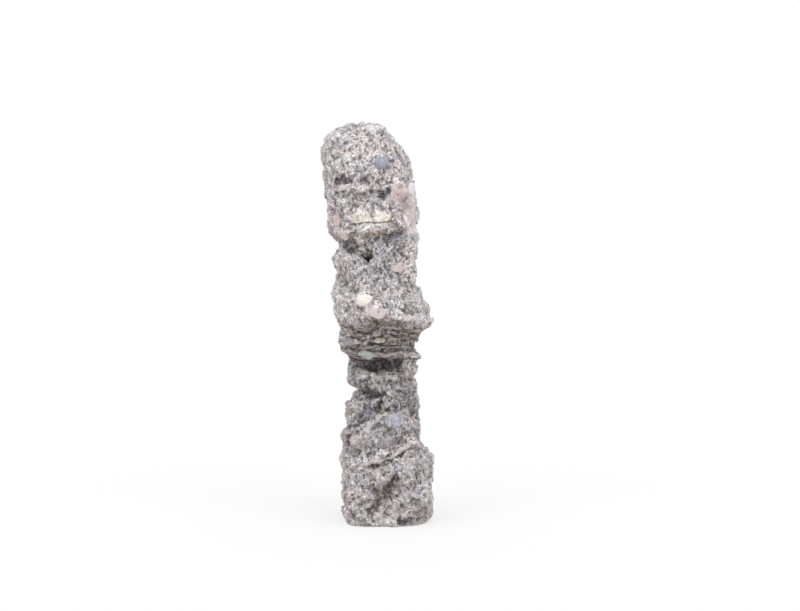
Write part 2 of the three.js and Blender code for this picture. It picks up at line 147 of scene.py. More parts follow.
# Smooth fragments that the eye finds first: place in the view plane, half width and half height, tilt in
# degrees, how proud the middle stands as a share of the half depth, and colour.
NAMED_FRAGMENTS = [
    ("round_blue", (3, 270.4), (5.3, 5.3), 0, 0.0, (0.37, 0.39, 0.47)),
    ("crown_cream", (-1, 284.6), (4, 2.6), 14, -0.39, CREAM),
    ("cream_sliver", (-24.2, 250.9), (6.6, 3.1), 25, -0.1, (0.68, 0.60, 0.57)),
    ("cream_left", (-31, 278), (4.6, 3.4), 10, -0.39, CREAM),
    ("cream_left_low", (-29.5, 269), (4.8, 3.2), 12, -0.39, CREAM),
    ("blue_left", (-19.5, 270.4), (3.8, 3), 0, -0.3, (0.32, 0.34, 0.40)),
    ("blue_left_low", (-12.8, 265), (3.6, 2.8), 0, -0.2, (0.36, 0.38, 0.44)),
    ("purple", (-18, 259), (4, 2.8), 0, -0.35, PURPLE),
    ("white_glint", (-23, 260.5), (2.6, 2.2), 10, -0.39, WHITE),
    ("cream_band_left", (-13, 228.5), (7, 2.8), 4, -0.5, CREAM),
    ("cream_band_right", (4, 228.2), (6, 2.6), -6, -0.61, (0.70, 0.64, 0.56)),
    ("cream_under_band", (-2, 220.4), (4, 2.2), 3, -0.5, CREAM),
    ("pink_strip_high", (-30, 227), (2.6, 7), 12, -0.1, PINK),
    ("pink_strip_low", (-26, 216.5), (2.8, 7), 30, -0.1, PALE_PINK),
    ("neck_cream", (-10.5, 205.2), (6, 5), -20, -0.05, (0.95, 0.91, 0.83)),
    ("neck_beige", (14.3, 191.6), (5.4, 5.2), 0, -0.1, (0.66, 0.58, 0.52)),
    ("belly_white", (-10, 166), (7.4, 6), 14, -0.1, (0.92, 0.88, 0.81)),
    ("belly_pink", (-0.5, 158.8), (8.4, 6.4), -8, -0.35, (0.64, 0.56, 0.54)),
    ("belly_brown", (-17.3, 159.4), (2.6, 3.4), 0, -0.39, BEIGE),
    ("belly_cream", (21.8, 154.2), (3, 2.6), 0, -0.39, CREAM),
    ("rim_pink", (30, 150.4), (4.6, 2.2), 8, -0.39, PALE_PINK),
    ("under_cream", (0.8, 137.6), (5, 4.2), 0, -0.5, (0.62, 0.55, 0.47)),
    ("under_grey", (-21.8, 136), (5.4, 4.2), -12, -0.39, (0.30, 0.31, 0.30)),
    ("green_plate", (-8, 125.8), (7.4, 4.6), -22, -0.2, (0.40, 0.44, 0.40)),
    ("green_edge", (-2, 122), (3.8, 2.8), -10, -0.2, (0.31, 0.36, 0.32)),
    ("red_edge", (24.5, 110), (2.6, 6), 8, -0.39, RED_PINK),
    ("shaft_beige", (4.5, 86.5), (4, 4), 0, -0.2, (0.44, 0.40, 0.35)),
    ("shaft_cream", (15, 92.5), (3.4, 2.4), 15, -0.2, CREAM),
    ("shaft_red", (-19.5, 83), (3.6, 3), 0, -0.2, RED_PINK),
    ("shaft_red_right", (27.5, 74.5), (3, 4), 0, -0.39, RED_PINK),
    ("foot_cream", (-11.2, 41), (5, 2), 6, -0.39, CREAM),
    ("foot_pink", (13.5, 30.5), (2.8, 2.6), 0, -0.3, (0.58, 0.45, 0.39)),
]

WORN_ROUND = {"round_blue"}

# Soft stains, patches of painted shade, and fragments that lie level with the surface: place in the view
# plane, radius, colour, and how strong they are.
STAINS_AND_SHADE = [
    ((20, 247), 13, (0.41, 0.35, 0.34), 0.8),
    ((16.5, 246.5), 8, (0.42, 0.32, 0.31), 0.95),
    ((27, 232), 16, (0.42, 0.345, 0.335), 0.75),
    # painted shade in the head's dark hollow, which a ridge fills in
    ((4, 247.5), 9, (0.17, 0.155, 0.16), 0.6),
    ((19, 214), 9, (0.44, 0.47, 0.50), 0.55),
    ((0, 294), 8, (0.56, 0.53, 0.55), 0.7),
    ((17, 272), 7, (0.52, 0.51, 0.54), 0.6),
    ((-27, 272), 11, (0.62, 0.57, 0.50), 0.5),
    ((-2, 200), 20, (0.27, 0.285, 0.33), 0.5),
    ((12, 212), 13, (0.30, 0.31, 0.36), 0.45),
    ((-7, 222), 15, (0.68, 0.63, 0.56), 0.7),
    ((-13, 229.5), 8, (0.76, 0.70, 0.61), 0.9),
    ((0, 229), 7, (0.76, 0.70, 0.61), 0.85),
    ((9, 228), 6, (0.74, 0.68, 0.58), 0.85),
    ((-21, 190), 12, (0.30, 0.26, 0.27), 0.4),
    ((-1.5, 158.6), 10, (0.60, 0.50, 0.49), 0.8),
    ((26, 160), 14, (0.56, 0.50, 0.49), 0.5),
    # painted shade under the belly's overhang
    ((-14, 134), 20, (0.25, 0.21, 0.18), 0.65),
    ((14, 136), 20, (0.24, 0.20, 0.17), 0.65),
    # painted shadow in the waist's recess under the belly
    ((2, 117), 13, (0.13, 0.105, 0.09), 0.75),
    ((-20, 108), 10, (0.26, 0.23, 0.24), 0.6),
    ((24, 100), 12, (0.42, 0.42, 0.46), 0.5),
    ((-8, 84), 8, (0.40, 0.38, 0.47), 0.8),
    ((13, 76), 10, (0.45, 0.45, 0.54), 0.85),
    ((8, 62), 9, (0.42, 0.40, 0.50), 0.8),
    ((18.8, 41), 8, (0.50, 0.52, 0.57), 0.7),
    ((-8, 32), 5, (0.36, 0.38, 0.44), 0.6),
    ((4, 20), 13, (0.25, 0.20, 0.18), 0.5),
    ((-16, 14), 9, (0.50, 0.48, 0.46), 0.4),
]

# Places that are worn smooth: place in the view plane, radius, and how smooth.
WORN = [
    ((17, 246.5), 9, 0.9),
    ((25, 246), 13, 0.95),
    ((28, 228), 15, 0.95),
    ((-12, 229), 8, 0.55),
    ((3, 228.5), 8, 0.55),
    ((12, 77), 9, 0.5),
    ((8, 62), 8, 0.4),
]

# Grooves, and ridges where the depth is below zero: both ends in the view plane, half width, depth, and how
# much painted shade darkens a groove, or a painted highlight lightens a ridge.
GROOVES = [
    # the fine crack under the cream band, and the hollows and ridges of the head and the neck
    ((-20, 224.6), (12, 225.8), 0.7, 1.3, 0.6),
    ((1, 243), (12, 250), 4.0, -2.4, 0.0),
    ((-29, 255), (-21, 258), 2.4, 3.0, 0.5),
    ((-12, 200), (-3, 195), 3.4, -2.6, 0.0),
    ((-21, 204.5), (-6, 196), 1.5, 1.0, 0.5),
    ((13, 281), (22, 266), 1.6, 1.6, 0.5),
    ((12, 205), (17, 178), 1.2, 1.4, 0.3),
    # ridges that break up the waist's hollow
    ((20.5, 125), (21.5, 112), 3.0, -2.4, 0.0),
    ((-13, 113), (-2, 109), 2.6, -2.0, 0.0),
    # the groove under the belly's edge, darkened with painted shadow
    ((-27, 147.5), (0, 147), 2.0, 2.6, 0.5),
    ((0, 147), (28, 149.5), 2.0, 2.6, 0.5),
    # rims of the ledges on the shaft and the foot, with painted highlights, and the groove over or under each
    ((-24, 67), (0, 76), 1.1, -2.2, 0.85),
    ((0, 76), (7, 81), 1.1, -2.2, 0.85),
    ((-22, 71.5), (-3, 79), 1.6, 2.4, 0.5),
    ((-12, 43.5), (10, 49), 1.1, -1.8, 0.7),
    ((10, 49), (24, 58.5), 1.1, -1.8, 0.7),
    ((-3, 41), (10, 46), 1.5, 1.8, 0.4),
    # the foot's slanting groove
    ((13, 32), (-5, 6), 3.0, 2.0, 0.3),
]


class Wire:
    """A socket of a node tree. An expression on wires adds the nodes that work it out."""

    def __init__(self, tree, socket=None):
        self.tree = tree
        self.socket = socket
        self.turned = None

    def add(self, kind, settings=None, inputs=None, output=0):
        """Adds a node: its settings first, then its sockets' values or links. Gives one of its outputs."""
        node = self.tree.nodes.new(kind)
        for name, value in (settings or {}).items():
            if name == "stops":
                fill_ramp(node.color_ramp, value)
            else:
                setattr(node, name, value)
        for name, value in (inputs or {}).items():
            if isinstance(value, Wire):
                self.tree.links.new(value.socket, node.inputs[name])
            else:
                node.inputs[name].default_value = value
        return Wire(self.tree, node.outputs[output] if len(node.outputs) else None)

    def output(self, name):
        """Another output of the node that this wire comes from."""
        return Wire(self.tree, self.socket.node.outputs[name])

    def math(self, operation, *others):
        """A Math node on this value and others."""
        inputs = dict(enumerate((self, *others)))
        return self.add("ShaderNodeMath", {"operation": operation}, inputs)

    def vector(self, operation, *others, output=0):
        """A Vector Math node on this vector and others."""
        inputs = dict(enumerate((self, *others)))
        return self.add("ShaderNodeVectorMath", {"operation": operation}, inputs, output)

    def combine(self, operation, other, flipped=False):
        """Adds, takes away or multiplies, in the way that the two sides need."""
        sides = (other, self) if flipped else (self, other)
        if operation == "MULTIPLY" and is_vector(self) and not is_vector(other):
            return self.add("ShaderNodeVectorMath", {"operation": "SCALE"}, {0: self, "Scale": other})
        kind = "ShaderNodeVectorMath" if any(map(is_vector, sides)) else "ShaderNodeMath"
        return self.add(kind, {"operation": operation}, dict(enumerate(sides)))

    def __add__(self, other):
        return self.combine("ADD", other)

    __radd__ = __add__

    def __sub__(self, other):
        return self.combine("SUBTRACT", other)

    def __rsub__(self, other):
        return self.combine("SUBTRACT", other, flipped=True)

    def __mul__(self, other):
        return self.combine("MULTIPLY", other)

    __rmul__ = __mul__

    def spread(self, vector):
        """A constant vector times this value."""
        return self.add("ShaderNodeVectorMath", {"operation": "SCALE"}, {0: vector, "Scale": self})

    def length(self):
        """The length of this vector."""
        return self.vector("LENGTH", output="Value")

    def part(self, axis):
        """One part of a vector: X, Y or Z."""
        return self.add("ShaderNodeSeparateXYZ", {}, {0: self}, axis)

    def rise(self, low, high, start=0.0, end=1.0):
        """Goes smoothly from start to end while this value goes from low to high."""
        sockets = {"Value": self, "From Min": low, "From Max": high, "To Min": start, "To Max": end}
        return self.add("ShaderNodeMapRange", {"interpolation_type": "SMOOTHSTEP"}, sockets, "Result")

    def mix(self, first, second):
        """Mixes two colours, with this value as the share of the second."""
        sockets = {0: self, 6: rgba(first), 7: rgba(second)}
        return self.add("ShaderNodeMix", {"data_type": "RGBA"}, sockets, 2)

    def shade(self, amount):
        """This colour times a value or another colour."""
        settings = {"data_type": "RGBA", "blend_type": "MULTIPLY"}
        amount = rgba(amount) if isinstance(amount, tuple) else amount
        return self.add("ShaderNodeMix", settings, {0: 1.0, 6: self, 7: amount}, 2)

    def skewed(self):
        """This point, turned so that no pattern follows a face of the stone."""
        if self.turned is None:
            sockets = {"Vector": self, "Rotation": tuple(SKEW.to_euler())}
            self.turned = self.add("ShaderNodeVectorRotate", {"rotation_type": "EULER_XYZ"}, sockets)
        return self.turned

    def noise(self, size, detail=3.0, roughness=0.55, output=0):
        """Fractal noise at this point, with bumps of the given size in metres."""
        sockets = {"Vector": self.skewed(), "Scale": 1 / size, "Detail": detail, "Roughness": roughness}
        return self.add("ShaderNodeTexNoise", {"noise_dimensions": "3D"}, sockets, output)

    def ramp(self, stops):
        """The colour that a list of stops gives for this value. It jumps from one stop to the next."""
        return self.add("ShaderNodeValToRGB", {"stops": stops}, {0: self})


def is_vector(side):
    """True if a side of an expression is a vector or a colour."""
    return isinstance(side, tuple) or (isinstance(side, Wire) and side.socket.type in {"VECTOR", "RGBA"})


def rgba(colour):
    """A colour with its alpha, if it is plain numbers."""
    return colour if isinstance(colour, Wire) else (*colour, 1.0)


def fill_ramp(ramp, stops):
    """Gives a colour ramp its stops."""
    ramp.interpolation = "CONSTANT"
    while len(ramp.elements) > 1:
        ramp.elements.remove(ramp.elements[-1])
    ramp.elements[0].position = stops[0][0]
    ramp.elements[0].color = rgba(stops[0][1])
    for position, colour in stops[1:]:
        ramp.elements.new(position).color = rgba(colour)


class Marks:
    """The marks of the stone's front in space: soft stains, patches of painted shade, worn places and
    grooves.
    """

    def __init__(self, surface):
        self.stains_and_shade = [
            (seen_at(surface, *place)[0], radius * MM, colour, amount)
            for place, radius, colour, amount in STAINS_AND_SHADE
        ]
        self.worn = [(seen_at(surface, *place)[0], radius * MM, share) for place, radius, share in WORN]
        self.grooves = [
            (seen_at(surface, *start)[0], seen_at(surface, *end)[0], width * MM, depth * MM, tone)
            for start, end, width, depth, tone in GROOVES
        ]

    def wide_grooves(self, wanted):
        """The grooves that are wide, or those that aren't."""
        return [groove for groove in self.grooves if (groove[2] >= WIDE_GROOVE) == wanted]

    def roughness(self, point):
        """1 where the surface is rough, and less where it is worn."""
        rough = None
        for place, radius, share in self.worn:
            here = (point - tuple(place)).length().rise(radius * 0.6, radius * 1.1, 1 - share, 1.0)
            rough = here if rough is None else rough * here
        return rough


class Cells:
    """Random cells of about one size round a point: a random vector and a middle for each, and its walls."""

    def __init__(self, point, size):
        settings = {"voronoi_dimensions": "3D", "feature": "F1"}
        point = point.skewed()
        sockets = {"Vector": point, "Scale": 1 / size}
        near = point.add("ShaderNodeTexVoronoi", settings, sockets)
        walls = point.add("ShaderNodeTexVoronoi", {**settings, "feature": "DISTANCE_TO_EDGE"}, sockets)
        self.random = near.output("Color").vector("ADD", (0.0, 0.0, 0.0))
        self.offset = point - near.output("Position")
        self.reach = near * size
        self.wall = walls * size

    def pick(self, axis):
        """One of the cell's random values, from 0 to 1."""
        return self.random.part(axis)

    def facet(self, step, tilt):
        """A height for the cell: it steps up or down, and its face tilts its own way."""
        slope = (self.random - (0.5, 0.5, 0.5)).vector("DOT_PRODUCT", self.offset, output="Value")
        return (self.pick("Z") - 0.5) * step + slope * tilt


def warped(point, size, reach):
    """The point, moved about by noise."""
    drift = point.noise(size, detail=2.0, output=1) - (0.5, 0.5, 0.5)
    return point + drift * (2 * reach)


def bent_cells(point, looks, kind):
    """The cells of one kind, coarse, medium, small or speck, with bent walls."""
    return Cells(warped(point, *BENDS[kind]), getattr(looks, f"{kind}_size"))


def bed_layers(point, looks):
    """A random value for the thin bed of rock at a point, and 0 in the gaps between beds and 1 elsewhere."""
    wave = point.noise(28 * MM, detail=2.0) * (16 * MM) + point.noise(9 * MM, detail=2.0) * (2 * MM)
    layer = (point.part("Z") + wave + point.part("X") * BED_SLOPE) * (1 / looks.bed_height)
    bed = layer.math("FLOOR")
    share = layer - bed
    value = bed.add("ShaderNodeTexWhiteNoise", {"noise_dimensions": "1D"}, {"W": bed})
    return value, share.rise(0.0, 0.3) * share.rise(1.0, 0.8)


def beds(point, looks):
    """Height of thin beds of rock, which step in and out, with a gap between one and the next."""
    value, solid = bed_layers(point, looks)
    return (value - 0.5) * looks.bed_step + (solid - 1) * (looks.bed_step * 0.75)


def bed_share(point, looks):
    """How strongly the beds show: fully under the belly, and faintly elsewhere."""
    height = point.part("Z")
    under = height.rise(*BEDS_LOW) * height.rise(*BEDS_HIGH)
    return under.rise(0.0, 1.0, looks.bed_elsewhere, 1.0)


def near_segment(point, start, end):
    """Distance from the straight line between two points, with depth in the view counted less."""
    along = tuple(end - start)
    length = sum(part * part for part in along)
    share = (point - tuple(start)).vector("DOT_PRODUCT", along, output="Value") * (1 / length)
    offset = point - (share.math("MAXIMUM", 0.0).math("MINIMUM", 1.0).spread(along) + tuple(start))
    back = tuple(view_axes()[1])
    behind = offset.vector("DOT_PRODUCT", back, output="Value") * DEPTH_SHARE
    return (offset - behind.spread(back)).length()


def in_groove(point, start, end, width):
    """1 in the middle of a groove and 0 outside it. It wanders, and its edges are ragged."""
    reach = near_segment(warped(point, 13 * MM, 2.6 * MM), start, end)
    ragged = reach + (point.noise(5 * MM) - 0.5) * (width * 2)
    return ragged.rise(width * 1.5, width * 0.3)


def grooved(height, point, grooves):
    """The height with grooves and ridges in it."""
    for start, end, width, depth, _ in grooves:
        height = height + in_groove(point, start, end, width) * -depth
    return height


def coarse_relief(point, looks, marks):
    """Height of the large fragments, lumps, beds and wide grooves."""
    fragments = bent_cells(point, looks, "coarse")
    gaps = fragments.wall.rise(0.0, 1.5 * MM, -0.5 * MM, 0.0)
    lumps = (point.noise(24 * MM, detail=4.0, roughness=0.6) - 0.5) * looks.lump_step
    bedded = bed_share(point, looks)
    height = (fragments.facet(looks.coarse_step, 0.4) + gaps) * bedded.rise(0.0, 1.0, 1.0, 0.3)
    height = (height + lumps + beds(point, looks) * bedded) * marks.roughness(point)
    return grooved(height, point, marks.wide_grooves(True))


def fine_relief(point, looks, marks):
    """Height of the small fragments, crumpled grain, pits and narrow grooves."""
    medium = bent_cells(point, looks, "medium")
    small = bent_cells(point, looks, "small")
    hollows = Cells(warped(point, 5 * MM, 1.5 * MM), looks.pit_gap)
    pits = hollows.reach.rise(0.3 * MM, looks.pit_width, -1.0, 0.0) * hollows.pick("X").rise(0.78, 0.86)
    folds = (point.noise(7 * MM, roughness=0.65) - 0.5).math("ABSOLUTE")
    creases = folds.math("MINIMUM", CREASE_WIDTH) * looks.crease_depth
    rough = (point.noise(3 * MM, roughness=0.7) - 0.5) * looks.grain_depth
    facets = medium.facet(looks.medium_step, 0.6) + small.facet(looks.small_step, 0.6)
    height = (facets + rough + creases - 0.3 * MM) * bed_share(point, looks).rise(0.2, 1.0, 1.0, 0.6)
    height = (height + pits * looks.pit_depth) * marks.roughness(point)
    return grooved(height, point, marks.wide_grooves(False))


def new_geometry_tree(name):
    """A geometry node tree with a surface going in and out, and the wire of the one that goes in."""
    tree = bpy.data.node_groups.new(name, "GeometryNodeTree")
    for way in ("INPUT", "OUTPUT"):
        tree.interface.new_socket("Geometry", in_out=way, socket_type="NodeSocketGeometry")
    return tree, Wire(tree).add("NodeGroupInput")


def turn_tree(name, turn):
    """A geometry node tree that turns a surface about the origin."""
    tree, geometry = new_geometry_tree(name)
    sockets = {"Geometry": geometry, "Rotation": tuple(turn.to_euler())}
    geometry.add("NodeGroupOutput", {}, {0: geometry.add("GeometryNodeTransform", {}, sockets)})
    return tree


def relief_tree(name, relief, shift, looks, marks):
    """A geometry node tree that moves a surface out by a relief, kept in the solid's box and flat below."""
    tree, geometry = new_geometry_tree(name)
    point = geometry.add("GeometryNodeInputPosition")
    normal = geometry.add("GeometryNodeInputNormal")
    moved = point + normal * ((relief(point, looks, marks) + shift) * point.part("Z").rise(*FOOT_FADE))
    inside = moved.vector("MINIMUM", tuple(STONE_HIGH)).vector("MAXIMUM", tuple(STONE_LOW))
    placed = geometry.add("GeometryNodeSetPosition", {}, {"Geometry": geometry, "Position": inside})
    geometry.add("NodeGroupOutput", {}, {0: placed})
    return tree


def evaluated_mesh(source, name):
    """The mesh that an object's modifiers make."""
    evaluated = source.evaluated_get(bpy.context.evaluated_depsgraph_get())
    mesh = bpy.data.meshes.new_from_object(evaluated)
    mesh.name = name
    return mesh


def remesh(source, size):
    """Adds an even mesh of the given size, smoothed a little, to an object."""
    modifier = source.modifiers.new("remesh", "REMESH")
    modifier.mode = "VOXEL"
    modifier.voxel_size = size
    modifier.use_smooth_shade = True
    modifier = source.modifiers.new("smooth", "SMOOTH")
    modifier.factor = 0.5
    modifier.iterations = 3


def add_tree(source, tree):
    """Adds a geometry node tree to an object."""
    source.modifiers.new(tree.name, "NODES").node_group = tree


def place_in_scene(name, data):
    """A new object in the scene, with its data."""
    made = bpy.data.objects.new(name, data)
    bpy.context.scene.collection.objects.link(made)
    return made


def keep(mesh, name, material):
    """Makes a piece of the stone from a mesh: it rides on the stone's body and has its finish."""
    mesh.name = name
    mesh.materials.clear()
    mesh.materials.append(material)
    piece = place_in_scene(name, mesh)
    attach(piece, "root")
    return piece


def new_material(name):
    """A material whose shader is ready for links, and the wire and shader to start from."""
    material = bpy.data.materials.new(name)
    material.use_nodes = True
    tree = material.node_tree
    shader = tree.nodes["Principled BSDF"]
    shader.inputs["Specular IOR Level"].default_value = 0.4
    return material, Wire(tree), shader


def finish_shader(start, shader, colour, roughness, height, depth):
    """Links a colour, a roughness and a bump to a shader."""
    bump = start.add("ShaderNodeBump", {}, {"Strength": 0.9, "Distance": depth, "Height": height})
    for name, wire in (("Base Color", colour), ("Roughness", roughness), ("Normal", bump)):
        start.tree.links.new(wire.socket, shader.inputs[name])


def view_axes():
    """The view plane's direction up, and the direction from it back to the camera."""
    up = Vector((0, math.sin(VIEW_ELEVATION), math.cos(VIEW_ELEVATION)))
    back = Vector((0, -math.cos(VIEW_ELEVATION), math.sin(VIEW_ELEVATION)))
    return up, back


def view_target():
    """The point in the middle of the picture."""
    across, up = VIEW_CENTRE
    return Vector((across, 0, up / math.cos(VIEW_ELEVATION))) * MM


def camera_place():
    """Where the camera stands."""
    return view_target() + view_axes()[1] * VIEW_DISTANCE * MM


def seen_at(surface, across, up):
    """The point of the surface that shows at a place of the view plane, and the surface's direction there."""
    rise, _ = view_axes()
    offset = Vector((across - VIEW_CENTRE[0], 0, 0)) + rise * (up - VIEW_CENTRE[1])
    sight = view_target() + offset * MM - camera_place()
    point, normal, _, _ = surface.ray_cast(camera_place(), sight.normalized())
    if point is None:
        raise RuntimeError(f"nothing shows at {across}, {up}")
    return point, normal


def stone_surface():
    """The finished stone's surface, for finding places on it."""
    return BVHTree.FromObject(bpy.data.objects["breccia"], bpy.context.evaluated_depsgraph_get())


def solid_surface():
    """The plain solid's surface, for finding places and directions on it."""
    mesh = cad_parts["stone"].data
    corners = [vert.co for vert in mesh.vertices]
    return BVHTree.FromPolygons(corners, [tuple(face.vertices) for face in mesh.polygons])


def metres(name, description, default, least=0.0):
    """A setting that holds a length."""
    return bpy.props.FloatProperty(
        name=name, description=description, default=default, min=least, subtype="DISTANCE", unit="LENGTH")


def paint(name, description, default):
    """A setting that holds a linear colour."""
    return bpy.props.FloatVectorProperty(
        name=name, description=description, default=default, min=0.0, max=1.0, subtype="COLOR")


def power(name, description, default):
    """A setting that holds a brightness."""
    return bpy.props.FloatProperty(name=name, description=description, default=default, min=0.0)


def whole(name, description, default):
    """A setting that holds a whole number."""
    return bpy.props.IntProperty(name=name, description=description, default=default, min=0)


class BodyLooks(bpy.types.PropertyGroup):
    """Sizes and colours of the stone's own surface, and the colours of its painted shade and highlights."""

    coarse_voxel: metres("Coarse voxel", "Mesh size under the large relief", 1.2 * MM, 0.5 * MM)
    fine_voxel: metres("Fine voxel", "Mesh size under the fine relief", 1.16 * MM, 0.5 * MM)
    coarse_size: metres("Large fragments", "Size of the large fragments", 10 * MM)
    coarse_step: metres("Large step", "How far one large fragment stands out past another", 1.6 * MM)
    medium_size: metres("Small fragments", "Size of the small fragments", 4.8 * MM)
    medium_step: metres("Small step", "How far one small fragment stands out past another", 0.6 * MM)
    small_size: metres("Grains", "Size of the grains in the surface", 2.3 * MM)
    small_step: metres("Grain step", "How far one grain stands out past another", 0.25 * MM)
    speck_size: metres("Specks", "Size of the finest specks of colour", 1.1 * MM)
    grain_depth: metres("Grain depth", "Height of the fine roughness", 1.2 * MM)
    crease_depth: metres("Creases", "Height for one unit of the noise that makes the creases", 5 * MM)
    lump_step: metres("Lumps", "Height of the wide lumps", 3 * MM)
    pit_gap: metres("Pit spacing", "Distance between one pit and the next", 5.2 * MM)
    pit_width: metres("Pit width", "Half the width of a pit", 1.5 * MM)
    pit_depth: metres("Pit depth", "Depth of a pit", 1.3 * MM)
    bed_height: metres("Bed height", "Height of one bed of rock under the belly", 5.4 * MM)
    bed_step: metres("Bed step", "How far one bed stands out past another", 4.6 * MM)
    bed_elsewhere: bpy.props.FloatProperty(
        name="Beds elsewhere", description="How strongly the beds show away from the belly",
        default=0.1, min=0.0, max=1.0, subtype="FACTOR")
    light_matrix: paint("Light matrix", "Colour of the light grey matrix", (0.62, 0.565, 0.565))
    dark_matrix: paint("Dark matrix", "Colour of the darker grey matrix", (0.39, 0.355, 0.365))
    # painted shade: darkens and browns the colour where the surface faces down
    underside_shade: paint("Undersides", "What shades the colour where it faces down", (0.56, 0.50, 0.45))
    # painted highlight: the light colour laid on the rims of ridges
    rim_highlight: paint("Rims", "Colour of worn rims", (0.68, 0.64, 0.64))
    # painted shade: the colour that darkens gaps, pits and grooves
    gap_shade: paint("Gaps", "Colour in gaps and pits", (0.085, 0.074, 0.072))


class PieceLooks(bpy.types.PropertyGroup):
    """Counts and sizes of the separate fragments and grains."""

    fragments: whole("Fragments", "Fragments spread over the whole stone", 260)
    fragment_least: metres("Least fragment", "Half the width of the smallest fragment", 1.5 * MM)
    fragment_most: metres("Largest fragment", "Half the width of the largest fragment", 4.6 * MM)
    grains: whole("Grains", "Grains spread over the whole stone", 9600)
    grain_least: metres("Least grain", "Half the width of the smallest grain", 0.4 * MM)
    grain_most: metres("Largest grain", "Half the width of the largest grain", 1.0 * MM)
    seed: whole("Seed", "Start of the random draws", 12)


class StageLooks(bpy.types.PropertyGroup):
    """The floor and the lights."""

    floor_colour: paint("Floor", "Colour of the floor", (0.35, 0.349, 0.347))
    floor_glow: power("Floor glow", "How much the floor shines of itself", 0.6)
    sky: power("Surroundings", "Brightness of the surroundings above", 0.68)
    horizon: power("Horizon", "Brightness of the surroundings at the height of the floor", 1.02)
    front_power: power("Front lights", "Strength of each front light", 0.52)
    top_power: power("Top light", "Strength of the light above", 0.6)


def matrix_colour(point, looks, marks, coarse):
    """The grey matrix: light and dark patches, soft stains and painted shade, and large fragments showing
    faintly.
    """
    patches = point.noise(11 * MM, detail=4.0, roughness=0.7).rise(0.35, 0.65)
    matrix = patches.mix(tuple(looks.dark_matrix), tuple(looks.light_matrix))
    for place, reach, patch_colour, amount in marks.stains_and_shade:
        ragged = (point - tuple(place)).length() + (point.noise(5 * MM) - 0.5) * (reach * 0.9)
        matrix = (ragged.rise(reach, reach * 0.35) * amount).mix(matrix, patch_colour)
    shown = coarse.pick("Y").rise(0.55, 0.6) * coarse.wall.rise(0.2 * MM, 2.4 * MM) * 0.4
    return shown.mix(matrix, coarse.pick("X").ramp(FRAGMENT_STOPS))


def grained(base, point, rough, cells):
    """The colour with small fragments, grains and specks in it where the surface is rough."""
    medium, small, speck = cells
    veins = point.noise(2.4 * MM, detail=4.0, roughness=0.75).rise(0.3, 0.7, 0.8, 1.12)
    chips = medium.pick("X").ramp(FRAGMENT_STOPS).shade(veins)
    chip_share = medium.pick("Y").rise(0.66, 0.70) * medium.wall.rise(0.1 * MM, 0.7 * MM) * rough
    base = (chip_share * 0.6).mix(base, chips)
    base = (small.pick("Y").rise(0.76, 0.84) * rough * 0.5).mix(base, small.pick("Z").ramp(GRIT_STOPS))
    base = base.shade(small.pick("X").rise(0.0, 1.0, 0.84, 1.14))
    base = base.shade(worn_share(rough) + speck.pick("X").rise(0.0, 1.0, 0.66, 1.3) * rough)
    return (speck.pick("Y").rise(0.82, 0.9) * rough * 0.6).mix(base, speck.pick("Z").ramp(GRIT_STOPS))


def worn_share(rough):
    """1 where the surface is worn, and 0 where it is rough."""
    return rough.rise(0.0, 1.0, 1.0, 0.0)


def with_crack_shade(base, point, looks, rough, cracks):
    """The colour with painted shade in the fine cracks and in the gaps between the beds."""
    base = base.shade((cracks + worn_share(rough)).rise(0.0, 1.0, 0.64, 1.12))
    gaps = bed_share(point, looks) * bed_layers(point, looks)[1].rise(0.0, 1.0, 1.0, 0.0)
    return base.shade(gaps.rise(0.15, 0.9, 1.0, 0.4))


def painted_light_and_shade(base, point, looks, marks):
    """The colour as the form changes it: darker lower down than at the head, painted shade in wide hollows,
    pits, grooves and where the surface faces down, and painted light where it faces up and on edges and rims.
    """
    near, wide, facing = (
        point.add("ShaderNodeAttribute", {"attribute_name": name}, {}, "Fac")
        for name in ("near_height", "wide_height", "facing_up")
    )
    height = point.part("Z")
    base = base.shade(height.rise(60 * MM, 80 * MM, 1.05, 0.87))
    base = base.shade(height.rise(118 * MM, 160 * MM, 1.0, 1.46))
    # painted shade in wide hollows, and a little painted light on wide bumps
    base = base.shade(wide.rise(-2.4 * MM, 1.4 * MM, 0.6, 1.08))
    # painted shade, darker and browner, where the surface faces down
    base = facing.rise(-0.05, -0.5).mix(base, base.shade(tuple(looks.underside_shade)))
    # painted light where the surface faces up
    base = base.shade(facing.rise(0.0, 0.7, 1.0, 1.1))
    # painted highlight on the edges that stand out of their near surroundings
    base = (near.rise(0.12 * MM, 0.5 * MM) * 0.3).mix(base, WHITE)
    # painted shade in the pits and gaps
    base = (near.rise(-0.12 * MM, -0.5 * MM) * 0.52).mix(base, tuple(looks.gap_shade))
    # painted shade in the grooves, and a painted highlight on the ridges
    for start, end, width, depth, tone in marks.grooves:
        line = tuple(looks.gap_shade if depth > 0 else looks.rim_highlight)
        base = (in_groove(point, start, end, width) * tone).mix(base, line)
    return base.vector("MINIMUM", BRIGHTEST)


def stone_material(looks, marks):
    """Speckled matrix with fragments of two sizes, soft stains, painted shade in hollows and painted
    highlights on edges.
    """
    material, start, shader = new_material("breccia")
    point = start.add("ShaderNodeTexCoord", output="Object")
    coarse, medium, small, speck = (bent_cells(point, looks, kind) for kind in BENDS)
    rough = marks.roughness(point)
    cracks = (point.noise(4 * MM, detail=4.0, roughness=0.6) - 0.5).math("ABSOLUTE").rise(0.0, 0.045)
    base = matrix_colour(point, looks, marks, coarse)
    base = grained(base, point, rough, (medium, small, speck))
    base = with_crack_shade(base, point, looks, rough, cracks)
    base = painted_light_and_shade(base, point, looks, marks)
    roughness = medium.pick("Z").rise(0.0, 1.0, 0.62, 0.9)
    grain = point.noise(0.9 * MM, roughness=0.7)
    height = grain * 0.5 + speck.pick("Z") * 0.3 + point.noise(2.2 * MM, detail=2.0) * 0.5 + cracks * 0.6
    finish_shader(start, shader, base, roughness, height, 0.5 * MM)
    return material


